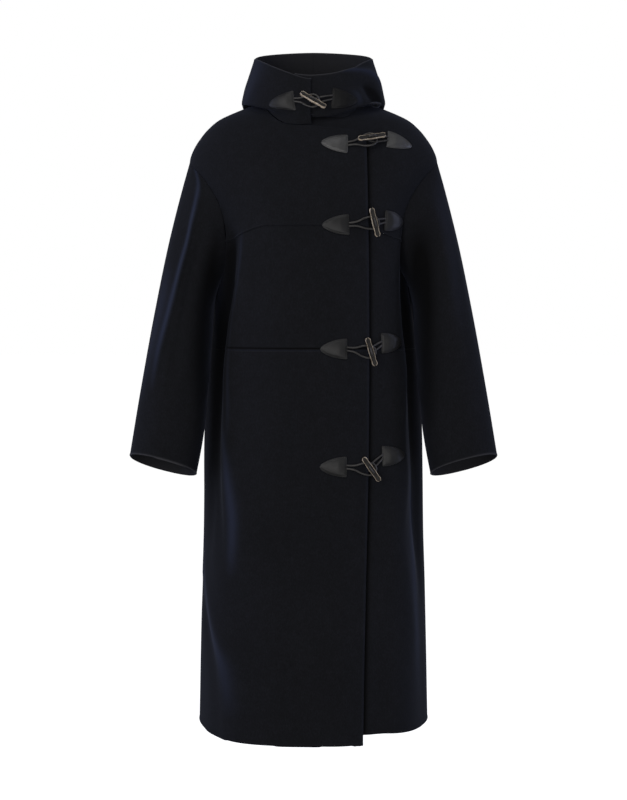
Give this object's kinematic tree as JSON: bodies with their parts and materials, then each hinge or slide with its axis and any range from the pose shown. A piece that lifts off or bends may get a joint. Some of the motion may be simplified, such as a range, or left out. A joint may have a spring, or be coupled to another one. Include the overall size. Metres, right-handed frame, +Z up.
{
  "type": "duffle coat",
  "caption": "Long dark navy wool duffle coat with a standing hood, horn toggles and leather patches, filled out as worn.",
  "frame": {"origin": "base of the neck, midway between the shoulders, inside the coat's hollow", "axes": "+Z up from hem to hood, -Y out of the front of the coat, +X towards the wearer's left"},
  "size_m": [0.6916, 0.3804, 1.3126],
  "materials": {
    "wool": "matt double-faced wool, lightly milled",
    "leather": "dark grey-black leather with a satin surface",
    "horn": "satin grey-brown horn, lengthwise grain"
  },
  "bodies": {
    "root": {"front_right_yoke": "wool", "front_right_middle": "wool", "front_right_skirt": "wool", "front_left_yoke": "wool", "front_left_middle": "wool", "front_left_skirt": "wool", "back": "wool", "sleeve_right": "wool", "sleeve_left": "wool", "hood_right": "wool", "hood_left": "wool", "closure1_loop_patch": "leather", "closure1_toggle_patch": "leather", "closure1_loop": "leather", "closure1_toggle_cord": "leather", "closure1_toggle": "horn", "closure2_loop_patch": "leather", "closure2_toggle_patch": "leather", "closure2_loop": "leather", "closure2_toggle_cord": "leather", "closure2_toggle": "horn", "closure3_loop_patch": "leather", "closure3_toggle_patch": "leather", "closure3_loop": "leather", "closure3_toggle_cord": "leather", "closure3_toggle": "horn", "closure4_loop_patch": "leather", "closure4_toggle_patch": "leather", "closure4_loop": "leather", "closure4_toggle_cord": "leather", "closure4_toggle": "horn", "closure5_loop_patch": "leather", "closure5_toggle_patch": "leather", "closure5_loop": "leather", "closure5_toggle_cord": "leather", "closure5_toggle": "horn"}
  },
  "joints": []
}
